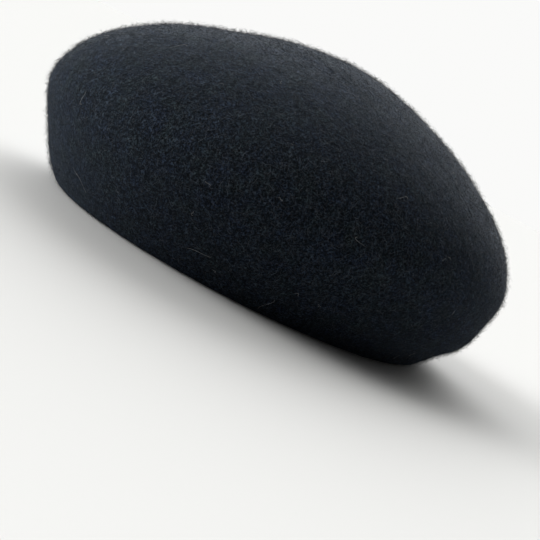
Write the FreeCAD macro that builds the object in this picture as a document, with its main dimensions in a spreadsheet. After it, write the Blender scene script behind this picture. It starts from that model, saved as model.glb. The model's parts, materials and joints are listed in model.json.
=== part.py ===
import FreeCAD, Part
import math
import os
import Sketcher
from FreeCAD import Placement, Rotation, Vector

# A blocked wool-felt beret: a one-piece felt body, a ribbon sweatband with a hook-and-loop size adjuster,
# and a satin lining. Millimetres. The origin is the centre of the rim's resting plane and +Z runs up through
# the crown. The wearer's face is towards -Y, the centre back is +Y and the wearer's left is +X. Angles round
# the opening are in degrees, counted from +X towards +Y.

OUT = "parts"
UP = Vector(0, 0, 1)

# Driving dimensions: alias, value in millimetres or degrees, what it is.
SIZES = [
    ("felt_thickness", 2.8, "wool felt"),
    ("widest_radius", 125.0, "half of the beret's full width"),
    ("widest_height", 46.0, "height of the widest line above the rim"),
    ("crown_height", 115.0, "height of the crown's top above the rim"),
    ("crown_arc", 164.0, "outer radius of the crown's dome"),
    ("brow_arc", 50.0, "outer radius between crown and shoulder"),
    ("shoulder_arc", 22.2, "outer radius round the widest line"),
    ("skirt_arc", 104.0, "outer radius of the underside that runs in to the rim"),
    ("rim_roll", 5.5, "outer radius of the rim fold on its outer side"),
    ("hem_roll", 3.6, "outer radius of the rim fold on its head side"),
    ("foot_radius", 98.0, "outer edge of the flat that the rim rests on"),
    ("hem_radius", 92.9, "head side of the turned-in hem"),
    ("hem_height", 14.0, "top of the turned-in hem"),
    ("head_radius", 91.5, "inside of the sweatband, for a 57.5 cm head"),
    ("band_thickness", 0.8, "grosgrain sweatband"),
    ("band_foot", 2.0, "lower edge of the sweatband"),
    ("band_width", 28.0, "width of the sweatband"),
    ("band_turn", 359.6, "degrees of the ring that the butted sweatband covers"),
    ("band_seam", 5.5, "height of the stitches that hold the sweatband"),
    ("join_radius", 92.35, "inner face of the tab over the sweatband's butted ends"),
    ("join_thickness", 0.6, "tab over the sweatband's butted ends"),
    ("join_foot", 16.2, "lower edge of that tab"),
    ("join_width", 13.0, "height of that tab"),
    ("join_span", 8.0, "degrees of the ring that the tab covers"),
    ("lining_thickness", 0.35, "satin"),
    ("lining_gap", 1.5, "air between felt and lining"),
    ("lining_seam_height", 51.0, "height of the seam between the lining's tip and side"),
    ("lining_seam_half", 0.3, "half of the opening at the lining's seam"),
    ("lining_turn", 8.0, "radius where the lining leaves the skirt"),
    ("lining_ledge", 15.2, "height at which the lining crosses the hem"),
    ("lining_step", 1.5, "radius where the lining turns down between hem and sweatband"),
    ("lining_leg", 92.8, "felt side of the lining's edge between hem and sweatband"),
    ("lining_foot", 4.0, "lower edge of the lining"),
    ("tape_foot", 17.0, "lower edge of the adjuster's elastic, tab and hooks"),
    ("tape_width", 10.0, "width of the adjuster's elastic, tab and hooks"),
    ("elastic_radius", 94.8, "inner face of the elastic"),
    ("elastic_thickness", 0.6, "elastic"),
    ("elastic_span", 68.0, "degrees of the ring that the elastic covers"),
    ("elastic_fold_span", 5.0, "degrees of the ring that its folded, sewn end covers"),
    ("tab_radius", 94.05, "inner face of the hook tab"),
    ("tab_thickness", 0.7, "hook tab"),
    ("tab_span", 41.0, "degrees of the ring that the hook tab covers"),
    ("hook_radius", 93.3, "inner face of the hook patch"),
    ("hook_thickness", 0.75, "hook patch"),
    ("hook_span", 20.0, "degrees of the ring that the hook patch covers"),
    ("loop_radius", 92.3, "inner face of the loop patch"),
    ("loop_thickness", 0.9, "loop patch"),
    ("loop_foot", 15.8, "lower edge of the loop patch"),
    ("loop_width", 12.6, "width of the loop patch"),
    ("loop_span", 36.0, "degrees of the ring that the loop patch covers"),
    ("label_width", 18.0, "care label, a folded satin ribbon"),
    ("label_length", 32.0, "care label above its hinge line"),
    ("label_ply", 0.25, "one layer of the care label"),
    ("label_fold", 0.5, "outer radius of the care label's folded edge"),
    ("label_hinge", 30.8, "height of the line on which the care label turns"),
    ("label_face", 92.5, "head side of the care label"),
    ("label_gap", 0.1, "gap between hinge line and the free part of the care label"),
    ("label_sewn", 6.4, "length of the care label's sewn end"),
    ("label_crease", 0.7, "gap between hinge line and sewn end"),
    ("maker_width", 52.0, "blank woven label in the crown, across"),
    ("maker_depth", 30.0, "blank woven label in the crown, front to back"),
    ("maker_thickness", 0.4, "blank woven label in the crown"),
    ("thread_radius", 0.2, "sewing thread"),
    ("thread_bend", 0.5, "radius at which a stitch turns into the cloth"),
    ("thread_sunk", 0.22, "thread's centre line below the sweatband's face"),
    ("stitch_half", 1.6, "half of one stitch, needle hole to needle hole"),
    ("tack_half", 0.9, "half of a small stitch"),
    ("bar_half", 3.5, "half of one thread of a bar tack"),
    ("band_stitch_depth", 2.1, "run of a sweatband stitch through ribbon, satin and hem"),
    ("lining_stitch_radius", 118.8, "thread over the lining's seam"),
    ("lining_stitch_depth", 2.0, "run of a seam stitch through the satin"),
    ("tack_radius", 120.1, "thread that ties the lining to the felt"),
    ("tack_height", 47.0, "height of those threads"),
    ("tack_depth", 3.4, "run of such a thread through satin and air into the felt"),
    ("tape_middle", 22.0, "middle of the adjuster's height"),
    ("anchor_depth", 3.3, "run of a bar tack through ribbon and elastic"),
    ("row_inset", 1.2, "hook patch's stitch rows in from its edges"),
    ("tab_stitch_depth", 1.1, "run of a stitch through hooks and tab"),
    ("label_tack_height", 27.0, "height of the care label's stitches"),
    ("label_stitch_depth", 1.75, "run of a stitch through ribbon and label"),
    ("maker_stitch_radius", 157.35, "thread on the woven label, from the crown dome's centre"),
    ("maker_stitch_aside", 24.0, "woven label's stitch rows from its middle"),
    ("maker_stitch_depth", 0.9, "run of a stitch up through woven label and satin"),
]
size = {alias: value for alias, value, note in SIZES}

# Angles round the opening, in degrees.
FULL_TURN = 360.0
BACK = 90.0
ELASTIC_START = 26.0
TAB_START = 78.0
HOOK_CENTRE = 107.0
LOOP_CENTRE = 114.0
LABEL_CENTRE = 155.0

# Rows of stitches: angle of the first stitch, degrees that the row covers, number of stitches.
SEAM_ROW = (0.0, FULL_TURN, 72)
TACK_ROW = (22.5, FULL_TURN, 8)
BAND_ROW = (0.0, FULL_TURN, 90)
ANCHOR_ROW = (27.2, 2.6, 3)
HOOK_ROW = (98.6, 16.8, 8)
LABEL_ROW = (151.6, 6.8, 4)
MAKER_ROW = (0.0, 8.8, 7)  # seen from the centre of the crown's dome

doc = FreeCAD.newDocument("beret")
sheet = doc.addObject("Spreadsheet::Sheet", "Sizes")
for row, (alias, value, note) in enumerate(SIZES, start=1):
    sheet.set(f"A{row}", note)
    sheet.set(f"B{row}", str(value))
    sheet.setAlias(f"B{row}", alias)
doc.recompute()


# Expressions are sums and differences of the sheet's names, such as "band_foot + band_width".


def from_sheet(expression):
    """The expression as FreeCAD reads it, with every name pointed at the sheet."""
    return " ".join(f"Sizes.{word}" if word in size else word for word in expression.split())


def amount(expression):
    """The value of an expression."""
    total = 0.0
    sign = 1.0
    for word in expression.split():
        if word in ("+", "-"):
            sign = 1.0 if word == "+" else -1.0
        else:
            total += sign * (size[word] if word in size else float(word))
    return total


def origin_plane(body, role):
    """One of a body's own origin planes."""
    return next(item for item in body.Origin.OriginFeatures if item.Role == role)


def new_body(label, turn=0.0):
    """An empty body turned about Z."""
    body = doc.addObject("PartDesign::Body", label)
    body.Label = label
    body.AllowCompound = True
    body.Placement = Placement(Vector(), Rotation(UP, turn))
    return body


def new_sketch(body, name, role="XZ_Plane", height=None):
    """A sketch on one of the body's origin planes, or at a height above it."""
    sketch = body.newObject("Sketcher::SketchObject", f"{body.Name}_{name}")
    sketch.AttachmentSupport = [(origin_plane(body, role), "")]
    sketch.MapMode = "FlatFace"
    if height:
        sketch.AttachmentOffset = Placement(Vector(0, 0, amount(height)), Rotation())
        sketch.setExpression("AttachmentOffset.Base.z", from_sheet(height))
    return sketch


def dimension(sketch, name, kind, places, expression):
    """A named dimension driven by the sheet."""
    index = sketch.addConstraint(Sketcher.Constraint(kind, *places, amount(expression)))
    sketch.renameConstraint(index, name)
    sketch.setExpression(f"Constraints.{name}", from_sheet(expression))


def join(sketch, kind, *places):
    """A constraint with no value of its own."""
    sketch.addConstraint(Sketcher.Constraint(kind, *places))


def revolve(body, sketch, span=None, centred=True):
    """Turns a sketch about Z: full circle, or a span of degrees centred on the sketch or starting there."""
    turned = body.newObject("PartDesign::Revolution", f"{sketch.Name}_turned")
    turned.Profile = sketch
    turned.ReferenceAxis = (sketch, ["V_Axis"])
    turned.Midplane = centred
    turned.Angle = amount(span) if span else FULL_TURN
    if span:
        turned.setExpression("Angle", f"({from_sheet(span)}) * 1 deg")
    body.Tip = turned


def rectangle(sketch, left, foot, width, height):
    """An upright rectangle from four expressions."""
    x0, y0 = amount(left), amount(foot)
    x1, y1 = x0 + amount(width), y0 + amount(height)
    corners = [Vector(x0, y0), Vector(x1, y0), Vector(x1, y1), Vector(x0, y1)]
    for k in range(4):
        sketch.addGeometry(Part.LineSegment(corners[k], corners[(k + 1) % 4]))
    for k in range(4):
        join(sketch, "Coincident", k, 2, (k + 1) % 4, 1)
        join(sketch, "Vertical" if k % 2 else "Horizontal", k)
    dimension(sketch, "left", "DistanceX", (0, 1), left)
    dimension(sketch, "foot", "DistanceY", (0, 1), foot)
    dimension(sketch, "width", "DistanceX", (0, 1, 0, 2), width)
    dimension(sketch, "tall", "DistanceY", (1, 1, 1, 2), height)


def ring(label, inner, thickness, foot, width, turn=0.0, span=None, centred=True):
    """A flat band bent round Z."""
    body = new_body(label, turn)
    section = new_sketch(body, "section")
    rectangle(section, inner, foot, thickness, width)
    revolve(body, section, span, centred)
    return body


# The felt and the lining are cloth sections whose faces run smoothly from arc to arc. The helpers below place
# the arcs' centres once, and every layer of cloth shares them.


def bearing(centre, point):
    """Direction from a centre to a point, in degrees."""
    return math.degrees(math.atan2(point.y - centre.y, point.x - centre.x))


def crossing(centre_a, reach_a, centre_b, reach_b):
    """Where two circles cross, to the left of the line from a to b."""
    gap = centre_b - centre_a
    along = (reach_a**2 - reach_b**2 + gap.Length**2) / (2 * gap.Length)
    aside = math.sqrt(reach_a**2 - along**2)
    ahead = Vector(gap).normalize()
    return centre_a + ahead * along + Vector(-ahead.y, ahead.x) * aside


CROWN = Vector(0, size["crown_height"] - size["crown_arc"])
SHOULDER = Vector(size["widest_radius"] - size["shoulder_arc"], size["widest_height"])
ROLL = Vector(size["foot_radius"], size["rim_roll"])
BROW = crossing(
    CROWN, size["crown_arc"] - size["brow_arc"], SHOULDER, size["brow_arc"] - size["shoulder_arc"]
)
SKIRT = crossing(
    ROLL, size["skirt_arc"] - size["rim_roll"], SHOULDER, size["skirt_arc"] - size["shoulder_arc"]
)


class Cloth:
    """A section through cloth: one face drawn stretch by stretch with the cloth on its right, and the other
    face alongside it at the cloth's thickness."""

    def __init__(self, sketch, thickness):
        self.sketch = sketch
        self.thickness = amount(thickness)
        self.face = []
        self.back = []

    def arc(self, centre, radius, start, end):
        """An arc between two directions as seen from its centre, clockwise when end is the smaller."""
        clockwise = end < start
        low, high = sorted((math.radians(start), math.radians(end)))
        for stretches, reach in (
            (self.face, radius),
            (self.back, radius - self.thickness if clockwise else radius + self.thickness),
        ):
            curve = Part.ArcOfCircle(Part.Circle(centre, UP, reach), low, high)
            index = self.sketch.addGeometry(curve)
            stretches.append((index, 2, 1) if clockwise else (index, 1, 2))
        join(self.sketch, "Coincident", self.face[-1][0], 3, self.back[-1][0], 3)
        return self.face[-1][0]

    def line(self, start, end):
        """A straight stretch."""
        heading = (end - start).normalize()
        across = Vector(heading.y, -heading.x) * self.thickness
        for stretches, shift in ((self.face, Vector()), (self.back, across)):
            index = self.sketch.addGeometry(Part.LineSegment(start + shift, end + shift))
            stretches.append((index, 1, 2))
        return self.face[-1][0]

    def close(self):
        """Makes the stretches run smoothly into each other and caps both ends. Returns the caps."""
        for stretches in (self.face, self.back):
            for (one, _, leave), (two, enter, _) in zip(stretches, stretches[1:]):
                join(self.sketch, "Tangent", one, leave, two, enter)
        return [self.cap(0, 1), self.cap(-1, 2)]

    def cap(self, which, end):
        """The short line across the cloth at one end."""
        front = (self.face[which][0], self.face[which][end])
        rear = (self.back[which][0], self.back[which][end])
        line = Part.LineSegment(self.sketch.getPoint(*front), self.sketch.getPoint(*rear))
        index = self.sketch.addGeometry(line)
        join(self.sketch, "Coincident", index, 1, *front)
        join(self.sketch, "Coincident", index, 2, *rear)
        return index


def build_felt_body():
    """Crown, shoulder, underside, rim fold and turned-in hem, all one piece of felt."""
    body = new_body("felt_body")
    sketch = new_sketch(body, "section")
    felt = Cloth(sketch, "felt_thickness")
    hem_roll = Vector(size["hem_radius"] + size["hem_roll"], size["hem_roll"])
    crown = felt.arc(CROWN, size["crown_arc"], 90, bearing(CROWN, BROW))
    brow = felt.arc(BROW, size["brow_arc"], bearing(CROWN, BROW), bearing(BROW, SHOULDER))
    shoulder = felt.arc(SHOULDER, size["shoulder_arc"], bearing(BROW, SHOULDER), bearing(SKIRT, SHOULDER))
    skirt = felt.arc(SKIRT, size["skirt_arc"], bearing(SKIRT, SHOULDER), bearing(SKIRT, ROLL))
    roll = felt.arc(ROLL, size["rim_roll"], bearing(SKIRT, ROLL), -90)
    foot = felt.line(Vector(ROLL.x, 0), Vector(hem_roll.x, 0))
    inner_roll = felt.arc(hem_roll, size["hem_roll"], -90, -180)
    hem = felt.line(Vector(size["hem_radius"], hem_roll.y), Vector(size["hem_radius"], size["hem_height"]))
    _, hem_cap = felt.close()
    join(sketch, "PointOnObject", crown, 3, -2)
    join(sketch, "PointOnObject", crown, 2, -2)
    join(sketch, "PointOnObject", felt.back[0][0], 2, -2)
    join(sketch, "PointOnObject", foot, 1, -1)
    join(sketch, "Horizontal", foot)
    join(sketch, "Vertical", hem)
    join(sketch, "Horizontal", hem_cap)
    dimension(sketch, "crown_height", "DistanceY", (crown, 2), "crown_height")
    dimension(sketch, "shoulder_x", "DistanceX", (shoulder, 3), "widest_radius - shoulder_arc")
    dimension(sketch, "shoulder_y", "DistanceY", (shoulder, 3), "widest_height")
    dimension(sketch, "foot_radius", "DistanceX", (roll, 3), "foot_radius")
    dimension(sketch, "hem_radius", "DistanceX", (hem, 1), "hem_radius")
    dimension(sketch, "hem_height", "DistanceY", (hem, 2), "hem_height")
    for arc, alias in (
        (crown, "crown_arc"),
        (brow, "brow_arc"),
        (shoulder, "shoulder_arc"),
        (skirt, "skirt_arc"),
        (roll, "rim_roll"),
        (inner_roll, "hem_roll"),
    ):
        dimension(sketch, alias, "Radius", (arc,), alias)
    dimension(sketch, "inside", "Radius", (felt.back[0][0],), "crown_arc - felt_thickness")
    revolve(body, sketch)
    return body


LINED = "felt_thickness + lining_gap"  # depth of the lining's outer face below the felt's
INSIDE = "- felt_thickness - lining_gap"


def build_lining_crown():
    """The lining's tip, from the top of the crown to the seam near the widest line."""
    body = new_body("lining_crown")
    sketch = new_sketch(body, "section")
    satin = Cloth(sketch, "lining_thickness")
    deep = amount(LINED)
    reach = size["shoulder_arc"] - deep
    seam = size["lining_seam_height"] + size["lining_seam_half"]
    seam_bearing = math.degrees(math.asin((seam - SHOULDER.y) / reach))
    crown = satin.arc(CROWN, size["crown_arc"] - deep, 90, bearing(CROWN, BROW))
    brow = satin.arc(BROW, size["brow_arc"] - deep, bearing(CROWN, BROW), bearing(BROW, SHOULDER))
    shoulder = satin.arc(SHOULDER, reach, bearing(BROW, SHOULDER), seam_bearing)
    _, seam_cap = satin.close()
    join(sketch, "PointOnObject", crown, 3, -2)
    join(sketch, "PointOnObject", crown, 2, -2)
    join(sketch, "PointOnObject", satin.back[0][0], 2, -2)
    join(sketch, "PointOnObject", shoulder, 3, seam_cap)
    dimension(sketch, "crown_height", "DistanceY", (crown, 2), "crown_height " + INSIDE)
    dimension(sketch, "shoulder_x", "DistanceX", (shoulder, 3), "widest_radius - shoulder_arc")
    dimension(sketch, "shoulder_y", "DistanceY", (shoulder, 3), "widest_height")
    dimension(sketch, "seam_height", "DistanceY", (shoulder, 1), "lining_seam_height + lining_seam_half")
    for arc, alias in ((crown, "crown_arc"), (brow, "brow_arc"), (shoulder, "shoulder_arc")):
        dimension(sketch, alias, "Radius", (arc,), f"{alias} {INSIDE}")
    dimension(sketch, "inside", "Radius", (satin.back[0][0],), f"crown_arc {INSIDE} - lining_thickness")
    revolve(body, sketch)
    return body


def build_lining_side():
    """The lining's side, from the seam down the underside, over the hem and down behind the sweatband."""
    body = new_body("lining_side")
    sketch = new_sketch(body, "section")
    satin = Cloth(sketch, "lining_thickness")
    deep = amount(LINED)
    reach = size["shoulder_arc"] - deep
    seam = size["lining_seam_height"] - size["lining_seam_half"]
    seam_bearing = math.degrees(math.asin((seam - SHOULDER.y) / reach))
    ledge, step, leg = size["lining_ledge"], size["lining_step"], size["lining_leg"]
    turn_y = ledge + size["lining_turn"]
    turn_reach = size["skirt_arc"] - deep - size["lining_turn"]
    turn_centre = Vector(SKIRT.x + math.sqrt(turn_reach**2 - (SKIRT.y - turn_y) ** 2), turn_y)
    step_centre = Vector(leg + step, ledge - step)
    shoulder = satin.arc(SHOULDER, reach, seam_bearing, bearing(SKIRT, SHOULDER))
    skirt = satin.arc(SKIRT, size["skirt_arc"] - deep, bearing(SKIRT, SHOULDER), bearing(SKIRT, turn_centre))
    turn = satin.arc(turn_centre, size["lining_turn"], bearing(SKIRT, turn_centre), -90)
    flat = satin.line(Vector(turn_centre.x, ledge), Vector(step_centre.x, ledge))
    corner = satin.arc(step_centre, step, 90, 180)
    drop = satin.line(Vector(leg, step_centre.y), Vector(leg, size["lining_foot"]))
    seam_cap, foot_cap = satin.close()
    roll = sketch.addGeometry(Part.Circle(ROLL, UP, size["rim_roll"] - deep), True)
    join(sketch, "Tangent", roll, skirt)
    join(sketch, "Horizontal", flat)
    join(sketch, "Vertical", drop)
    join(sketch, "Horizontal", foot_cap)
    join(sketch, "PointOnObject", shoulder, 3, seam_cap)
    dimension(sketch, "shoulder_x", "DistanceX", (shoulder, 3), "widest_radius - shoulder_arc")
    dimension(sketch, "shoulder_y", "DistanceY", (shoulder, 3), "widest_height")
    dimension(sketch, "seam_height", "DistanceY", (shoulder, 2), "lining_seam_height - lining_seam_half")
    dimension(sketch, "roll_x", "DistanceX", (roll, 3), "foot_radius")
    dimension(sketch, "roll_y", "DistanceY", (roll, 3), "rim_roll")
    dimension(sketch, "ledge", "DistanceY", (flat, 1), "lining_ledge")
    dimension(sketch, "leg", "DistanceX", (drop, 1), "lining_leg")
    dimension(sketch, "edge", "DistanceY", (drop, 2), "lining_foot")
    for arc, alias in ((roll, "rim_roll"), (shoulder, "shoulder_arc"), (skirt, "skirt_arc")):
        dimension(sketch, alias, "Radius", (arc,), f"{alias} {INSIDE}")
    dimension(sketch, "turn", "Radius", (turn,), "lining_turn")
    dimension(sketch, "corner", "Radius", (corner,), "lining_step")
    inside = satin.back[0][0]
    dimension(sketch, "inside", "Radius", (inside,), f"shoulder_arc {INSIDE} - lining_thickness")
    revolve(body, sketch)
    return body


# Stitches. Each one lies on the cloth along the ring or upright, and both of its ends turn away from Z.


def stitch(body, name, radius, height, half_long, depth, upright=False):
    """One stitch at angle 0 of the body: a pipe along a U whose legs point away from Z."""
    plane, level = ("XZ_Plane", None) if upright else ("XY_Plane", height)
    spine = new_sketch(body, name + "_spine", plane, level)
    x0, bend, half = amount(radius), size["thread_bend"], amount(half_long)
    middle = amount(height) if upright else 0.0
    tip = x0 + amount(depth)
    low, high = middle - half, middle + half
    corner_low = Part.Circle(Vector(x0 + bend, low + bend), UP, bend)
    corner_high = Part.Circle(Vector(x0 + bend, high - bend), UP, bend)
    spine.addGeometry(Part.LineSegment(Vector(tip, low), Vector(x0 + bend, low)))
    spine.addGeometry(Part.ArcOfCircle(corner_low, math.pi, 1.5 * math.pi))
    spine.addGeometry(Part.LineSegment(Vector(x0, low + bend), Vector(x0, high - bend)))
    spine.addGeometry(Part.ArcOfCircle(corner_high, 0.5 * math.pi, math.pi))
    spine.addGeometry(Part.LineSegment(Vector(x0 + bend, high), Vector(tip, high)))
    for one, leave, two, enter in ((0, 2, 1, 2), (1, 1, 2, 1), (2, 2, 3, 2), (3, 1, 4, 1)):
        join(spine, "Tangent", one, leave, two, enter)
    join(spine, "Horizontal", 0)
    join(spine, "Vertical", 2)
    join(spine, "Equal", 1, 3)
    join(spine, "Vertical", 0, 1, 4, 2)
    dimension(spine, "radius", "DistanceX", (2, 1), radius)
    dimension(spine, "depth", "DistanceX", (2, 1, 0, 1), depth)
    dimension(spine, "bend", "Radius", (1,), "thread_bend")
    dimension(spine, "long", "DistanceY", (0, 1, 4, 2), f"{half_long} + {half_long}")
    foot = f"{height} - {half_long}" if upright else f"0 - {half_long}"
    dimension(spine, "foot", "DistanceY", (0, 1), foot)
    profile = new_sketch(body, name + "_thread", "YZ_Plane", f"{radius} + {depth}")
    centre = Vector(0, low) if upright else Vector(low, amount(height))
    profile.addGeometry(Part.Circle(centre, UP, size["thread_radius"]))
    dimension(profile, "thick", "Radius", (0,), "thread_radius")
    if upright:
        join(profile, "PointOnObject", 0, 3, -2)
        dimension(profile, "level", "DistanceY", (0, 3), foot)
    else:
        dimension(profile, "aside", "DistanceX", (0, 3), foot)
        dimension(profile, "level", "DistanceY", (0, 3), height)
    pipe = body.newObject("PartDesign::AdditivePipe", f"{body.Name}_{name}")
    pipe.Profile = profile
    pipe.Spine = spine
    body.Tip = pipe
    return pipe


def repeat(body, features, span, count):
    """Copies features round Z over a span of degrees."""
    pattern = body.newObject("PartDesign::PolarPattern", body.Name + "_row")
    pattern.Originals = features
    pattern.Axis = (origin_plane(body, "Z_Axis"), [""])
    pattern.Angle = span
    pattern.Occurrences = count
    body.Tip = pattern


def build_sweatband():
    """The grosgrain ribbon, butted at the centre back."""
    body = new_body("sweatband", BACK - 180)
    section = new_sketch(body, "section")
    rectangle(section, "head_radius", "band_foot", "band_thickness", "band_width")
    revolve(body, section, "band_turn")
    return body


def build_adjuster_elastic():
    """The elastic. One end is turned under and sewn to the sweatband, the other laps over the hook tab."""
    body = new_body("adjuster_elastic", ELASTIC_START)
    run = new_sketch(body, "run")
    rectangle(run, "elastic_radius", "tape_foot", "elastic_thickness", "tape_width")
    revolve(body, run, "elastic_span", centred=False)
    fold = new_sketch(body, "fold")
    folds_deep = "elastic_radius + elastic_thickness - join_radius"
    rectangle(fold, "join_radius", "tape_foot", folds_deep, "tape_width")
    revolve(body, fold, "elastic_fold_span", centred=False)
    return body


def pad_label(body, sketch):
    """Gives a label's section the label's width."""
    pad = body.newObject("PartDesign::Pad", body.Name + "_wide")
    pad.Profile = sketch
    pad.Midplane = True
    pad.Length = size["label_width"]
    pad.setExpression("Length", "Sizes.label_width")
    body.Tip = pad


def build_care_label():
    """The free part of a folded ribbon label, upright, with its fold at the top."""
    body = new_body("care_label", LABEL_CENTRE)
    sketch = new_sketch(body, "section")
    ribbon = Cloth(sketch, "label_ply")
    near, bend = size["label_face"], size["label_fold"]
    far = near + 2 * bend
    foot, head = "label_hinge + label_gap", "label_hinge + label_length - label_fold"
    low, high = amount(foot), amount(head)
    rise = ribbon.line(Vector(near, low), Vector(near, high))
    fold = ribbon.arc(Vector(near + bend, high), bend, 180, 0)
    fall = ribbon.line(Vector(far, high), Vector(far, low))
    first_cap, last_cap = ribbon.close()
    join(sketch, "Vertical", rise)
    join(sketch, "Horizontal", first_cap)
    join(sketch, "Horizontal", last_cap)
    join(sketch, "Horizontal", rise, 1, fall, 2)
    dimension(sketch, "near", "DistanceX", (rise, 1), "label_face")
    dimension(sketch, "low", "DistanceY", (rise, 1), foot)
    dimension(sketch, "high", "DistanceY", (fold, 3), head)
    dimension(sketch, "fold", "Radius", (fold,), "label_fold")
    dimension(sketch, "inside", "Radius", (ribbon.back[1][0],), "label_fold - label_ply")
    pad_label(body, sketch)
    return body


def build_care_label_end():
    """The label's sewn end, behind the sweatband's upper edge."""
    body = new_body("care_label_end", LABEL_CENTRE)
    sketch = new_sketch(body, "section")
    foot = "label_hinge - label_crease - label_sewn"
    rectangle(sketch, "label_face", foot, "label_fold + label_fold", "label_sewn")
    pad_label(body, sketch)
    return body


def build_maker_label():
    """A blank woven label that lies against the lining's tip: a rectangle out of a thin spherical shell."""
    under = "crown_arc - felt_thickness - lining_gap - lining_thickness"
    balls = []
    for name, reach in (("outer", under), ("inner", under + " - maker_thickness")):
        ball = doc.addObject("Part::Sphere", f"maker_{name}")
        ball.Radius = amount(reach)
        ball.setExpression("Radius", from_sheet(reach))
        ball.Placement = Placement(Vector(0, 0, CROWN.y), Rotation())
        ball.setExpression("Placement.Base.z", from_sheet("crown_height - crown_arc"))
        balls.append(ball)
    shell = doc.addObject("Part::Cut", "maker_shell")
    shell.Base, shell.Tool = balls
    blank = doc.addObject("Part::Box", "maker_blank")
    for side, alias in (("Length", "maker_width"), ("Width", "maker_depth"), ("Height", "crown_arc")):
        setattr(blank, side, size[alias])
        blank.setExpression(side, f"Sizes.{alias}")
    blank.setExpression("Placement.Base.x", "Sizes.maker_width / -2")
    blank.setExpression("Placement.Base.y", "Sizes.maker_depth / -2")
    label = doc.addObject("Part::Common", "maker_label")
    label.Label = "maker_label"
    label.Base, label.Tool = blank, shell
    return label


def stitch_rows(label, row, levels, half_long, depth, upright=False):
    """Equal rows of stitches round Z in one body, one row for each radius and height in levels."""
    start, span, count = row
    body = new_body(label, start)
    firsts = []
    for number, (radius, height) in enumerate(levels):
        firsts.append(stitch(body, f"first{number}", radius, height, half_long, depth, upright))
    repeat(body, firsts, span, count)
    return body


def build_maker_label_stitches():
    """Two rows of stitches, one along each short side of the woven label, that follow its curve."""
    levels = [("maker_stitch_radius", side + "maker_stitch_aside") for side in ("", "0 - ")]
    body = stitch_rows("maker_label_stitches", MAKER_ROW, levels, "tack_half", "maker_stitch_depth")
    lay_down = Rotation(Vector(0, 1, 0), -90)
    centre_row = Rotation(UP, -MAKER_ROW[1] / 2)
    body.Placement = Placement(Vector(0, 0, CROWN.y), lay_down * centre_row)
    return body


def build_stitches():
    """Every kind of stitch, each kind as one sub-part."""
    on_band = "head_radius + thread_sunk"  # stitches on the sweatband lie sunk between its ribs
    on_hooks = "hook_radius + thread_sunk"
    seam = [("lining_stitch_radius", "lining_seam_height")]
    tacks = [("tack_radius", "tack_height")]
    band = [(on_band, "band_seam")]
    anchor = [(on_band, "tape_middle")]
    hooks = [(on_hooks, "tape_foot + row_inset"), (on_hooks, "tape_foot + tape_width - row_inset")]
    label = [(on_band, "label_tack_height")]
    return [
        stitch_rows("lining_seam", SEAM_ROW, seam, "stitch_half", "lining_stitch_depth", upright=True),
        stitch_rows("lining_tacks", TACK_ROW, tacks, "tack_half", "tack_depth"),
        stitch_rows("sweatband_stitching", BAND_ROW, band, "stitch_half", "band_stitch_depth"),
        stitch_rows("adjuster_anchor", ANCHOR_ROW, anchor, "bar_half", "anchor_depth", upright=True),
        stitch_rows("hook_tab_stitches", HOOK_ROW, hooks, "tack_half", "tab_stitch_depth"),
        stitch_rows("care_label_stitches", LABEL_ROW, label, "tack_half", "label_stitch_depth"),
        build_maker_label_stitches(),
    ]


def build_all():
    """Every sub-part, in the order in which the beret is made up."""
    tape = ("tape_foot", "tape_width")
    loop = ("loop_foot", "loop_width")
    cover = ("join_foot", "join_width")
    return [
        build_felt_body(),
        build_lining_crown(),
        build_lining_side(),
        build_sweatband(),
        ring("sweatband_join", "join_radius", "join_thickness", *cover, BACK, "join_span"),
        build_adjuster_elastic(),
        ring("hook_tab", "tab_radius", "tab_thickness", *tape, TAB_START, "tab_span", centred=False),
        ring("hook_patch", "hook_radius", "hook_thickness", *tape, HOOK_CENTRE, "hook_span"),
        ring("loop_patch", "loop_radius", "loop_thickness", *loop, LOOP_CENTRE, "loop_span"),
        build_care_label(),
        build_care_label_end(),
        build_maker_label(),
        *build_stitches(),
    ]


def check(parts):
    """Stops if anything in the document failed or a sub-part isn't a valid solid."""
    for item in doc.Objects:
        if {"Invalid", "Error"} & set(item.State):
            raise RuntimeError(f"{item.Label} failed: {item.State}")
    for part in parts:
        shape = part.Shape
        if shape.isNull() or not shape.isValid() or not shape.Solids:
            raise RuntimeError(f"{part.Label} isn't a valid solid")


parts = build_all()
doc.recompute()
check(parts)
os.makedirs(OUT, exist_ok=True)
for part in parts:
    part.Shape.exportStep(f"{OUT}/{part.Label}.step")
    print(part.Label, len(part.Shape.Solids), round(part.Shape.Volume, 1))
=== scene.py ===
import json
import math
import bpy
import numpy as np
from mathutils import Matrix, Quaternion, Vector


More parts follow.
